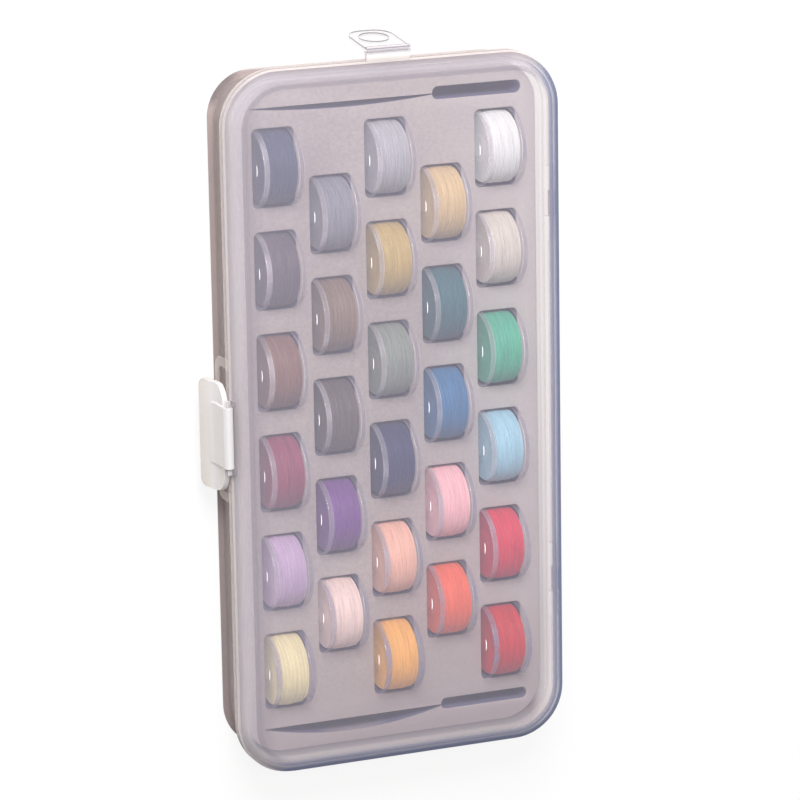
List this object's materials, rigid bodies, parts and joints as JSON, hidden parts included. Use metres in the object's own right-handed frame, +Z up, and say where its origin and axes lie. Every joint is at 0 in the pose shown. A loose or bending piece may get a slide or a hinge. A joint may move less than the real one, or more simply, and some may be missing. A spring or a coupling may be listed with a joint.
{
  "type": "bobbin box",
  "caption": "Flat translucent sewing bobbin box with a hinged lid, side clasp and fold-out hang tab, holding thread-wound clear bobbins upright in slots of a foam insert.",
  "frame": {"origin": "centre of the tray's flat underside", "axes": "+X across towards the hinge side, +Y along towards the hang-tab end, +Z up through the lid"},
  "size_m": [0.1046, 0.2062, 0.0264],
  "materials": {
    "shell_translucent": "hazy natural polypropylene, clear enough to see through",
    "clasp_milky": "milky natural polypropylene",
    "tab_clear": "thin clear plastic",
    "pin_natural": "natural moulded plastic",
    "bobbin_clear": "clear moulded plastic",
    "foam_grey": "matt closed-cell foam",
    "thread_slate_blue": "fine polyester sewing thread, wound",
    "thread_plum_grey": "fine polyester sewing thread, wound",
    "thread_brown": "fine polyester sewing thread, wound",
    "thread_maroon": "fine polyester sewing thread, wound",
    "thread_lavender": "fine polyester sewing thread, wound",
    "thread_cream": "fine polyester sewing thread, wound",
    "thread_steel_grey": "fine polyester sewing thread, wound",
    "thread_taupe": "fine polyester sewing thread, wound",
    "thread_charcoal": "fine polyester sewing thread, wound",
    "thread_purple": "fine polyester sewing thread, wound",
    "thread_pale_pink": "fine polyester sewing thread, wound",
    "thread_silver_grey": "fine polyester sewing thread, wound",
    "thread_gold": "fine polyester sewing thread, wound",
    "thread_sage": "fine polyester sewing thread, wound",
    "thread_navy": "fine polyester sewing thread, wound",
    "thread_salmon": "fine polyester sewing thread, wound",
    "thread_orange": "fine polyester sewing thread, wound",
    "thread_tan": "fine polyester sewing thread, wound",
    "thread_teal": "fine polyester sewing thread, wound",
    "thread_blue": "fine polyester sewing thread, wound",
    "thread_pink": "fine polyester sewing thread, wound",
    "thread_vermilion": "fine polyester sewing thread, wound",
    "thread_white": "fine polyester sewing thread, wound",
    "thread_oatmeal": "fine polyester sewing thread, wound",
    "thread_green": "fine polyester sewing thread, wound",
    "thread_sky_blue": "fine polyester sewing thread, wound",
    "thread_crimson": "fine polyester sewing thread, wound",
    "thread_red": "fine polyester sewing thread, wound"
  },
  "bodies": {
    "base": {"base_tray": "shell_translucent", "foam_insert": "foam_grey", "lid_hinge_pin_lower": "pin_natural", "lid_hinge_pin_upper": "pin_natural", "bobbins_column_1": "bobbin_clear", "bobbins_column_2": "bobbin_clear", "bobbins_column_3": "bobbin_clear", "bobbins_column_4": "bobbin_clear", "bobbins_column_5": "bobbin_clear", "thread_slate_blue": "thread_slate_blue", "thread_plum_grey": "thread_plum_grey", "thread_brown": "thread_brown", "thread_maroon": "thread_maroon", "thread_lavender": "thread_lavender", "thread_cream": "thread_cream", "thread_steel_grey": "thread_steel_grey", "thread_taupe": "thread_taupe", "thread_charcoal": "thread_charcoal", "thread_purple": "thread_purple", "thread_pale_pink": "thread_pale_pink", "thread_silver_grey": "thread_silver_grey", "thread_gold": "thread_gold", "thread_sage": "thread_sage", "thread_navy": "thread_navy", "thread_salmon": "thread_salmon", "thread_orange": "thread_orange", "thread_tan": "thread_tan", "thread_teal": "thread_teal", "thread_blue": "thread_blue", "thread_pink": "thread_pink", "thread_vermilion": "thread_vermilion", "thread_white": "thread_white", "thread_oatmeal": "thread_oatmeal", "thread_green": "thread_green", "thread_sky_blue": "thread_sky_blue", "thread_crimson": "thread_crimson", "thread_red": "thread_red"},
    "lid": {"lid": "shell_translucent", "clasp_pin": "pin_natural"},
    "clasp": {"clasp": "clasp_milky"},
    "hang_tab": {"hang_tab": "tab_clear"}
  },
  "joints": [
    {"name": "lid_hinge", "type": "hinge", "parent": "base", "child": "lid", "pos_m": [0.04979, 0, 0.0166], "axis": [0, 1, 0], "range_deg": [0, 180]},
    {"name": "clasp_hinge", "type": "hinge", "parent": "lid", "child": "clasp", "pos_m": [-0.05071, 0, 0.02197], "axis": [0, 1, 0], "range_deg": [0, 135]},
    {"name": "tab_fold", "type": "hinge", "parent": "lid", "child": "hang_tab", "pos_m": [-0.0009, 0.10334, 0.02015], "axis": [1, 0, 0], "range_deg": [0, 90]}
  ]
}
